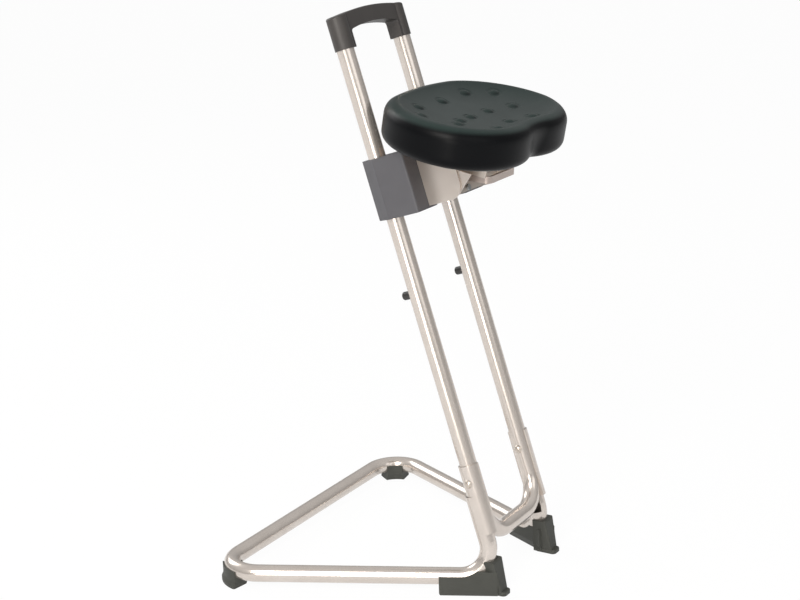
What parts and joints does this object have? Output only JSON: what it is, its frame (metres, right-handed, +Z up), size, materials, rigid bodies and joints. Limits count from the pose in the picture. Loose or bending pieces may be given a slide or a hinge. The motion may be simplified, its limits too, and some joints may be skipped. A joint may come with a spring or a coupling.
{
  "type": "perch_stool",
  "caption": "Perch stool with a bent tube base, leaning twin uprights, an arched carrying handle and a nubbed saddle seat on a lever-released sliding carriage",
  "frame": {"origin": "the middle of the stool's bounding box in plan, on the floor", "axes": "+Z up, the sitter faces -Y, +X is the sitter's left, symmetric about X = 0 but for the small stop screw and one nub"},
  "size_m": [0.4954, 0.4354, 0.817],
  "materials": {
    "frame_steel": "satin",
    "rivet_steel": "satin",
    "handle_plastic": "matt",
    "peg_plastic": "matt",
    "foot_rubber": "matt",
    "cover_plastic": "matt",
    "bracket_steel": "satin",
    "bush_plastic": "matt",
    "zinc_steel": "satin",
    "board_wood": "raw",
    "seat_foam": "satin",
    "lever_steel": "satin",
    "lock_steel": "satin",
    "spring_steel": "satin"
  },
  "bodies": {
    "frame": {"upright_frame": "frame_steel", "base_frame": "frame_steel", "frame_rivets": "rivet_steel", "carrying_handle": "handle_plastic", "stop_peg_right": "peg_plastic", "stop_peg_left": "peg_plastic", "front_shoe_right": "foot_rubber", "front_shoe_left": "foot_rubber", "rear_foot_right": "foot_rubber", "rear_foot_left": "foot_rubber"},
    "carriage": {"cheek_plate_left": "bracket_steel", "cheek_plate_right": "bracket_steel", "cover_screws": "zinc_steel", "front_web": "bracket_steel", "lever_stop_screw": "zinc_steel", "lock_anchor_left": "bracket_steel", "lock_anchor_right": "bracket_steel", "lock_springs": "spring_steel", "lower_bushes": "bush_plastic", "lower_sleeves": "bracket_steel", "seat_board": "board_wood", "seat_channel": "bracket_steel", "seat_cushion": "seat_foam", "seat_screws": "zinc_steel", "seat_washers": "zinc_steel", "side_cover_left": "cover_plastic", "side_cover_right": "cover_plastic", "upper_bushes": "bush_plastic", "upper_sleeves": "bracket_steel"},
    "lever": {"release_lever": "lever_steel", "lever_pivot_rod": "lever_steel", "release_fingers": "lever_steel"},
    "lock_plates": {"lock_plate_right": "lock_steel", "lock_plate_left": "lock_steel"}
  },
  "joints": [
    {"name": "seat_height", "type": "slide", "parent": "frame", "child": "carriage", "axis": [0, 0.2952, 0.9554], "range_m": [-0.1048, 0.154]},
    {"name": "lever_lift", "type": "hinge", "parent": "carriage", "child": "lever", "pos_m": [0, -0.04188, 0.59749], "axis": [-1, 0, 0], "range_deg": [0, 12], "stiffness_Nm_per_rad": 0.8, "springref_deg": -14.32},
    {"name": "lock_release", "type": "hinge", "parent": "carriage", "child": "lock_plates", "pos_m": [0, 0.01113, 0.5675], "axis": [1, 0, 0], "range_deg": [0, 3], "deforming": ["lock_springs"]}
  ],
  "couplings": [
    {"joint": "lock_release", "follows": "lever_lift", "ratio": 0.25}
  ]
}
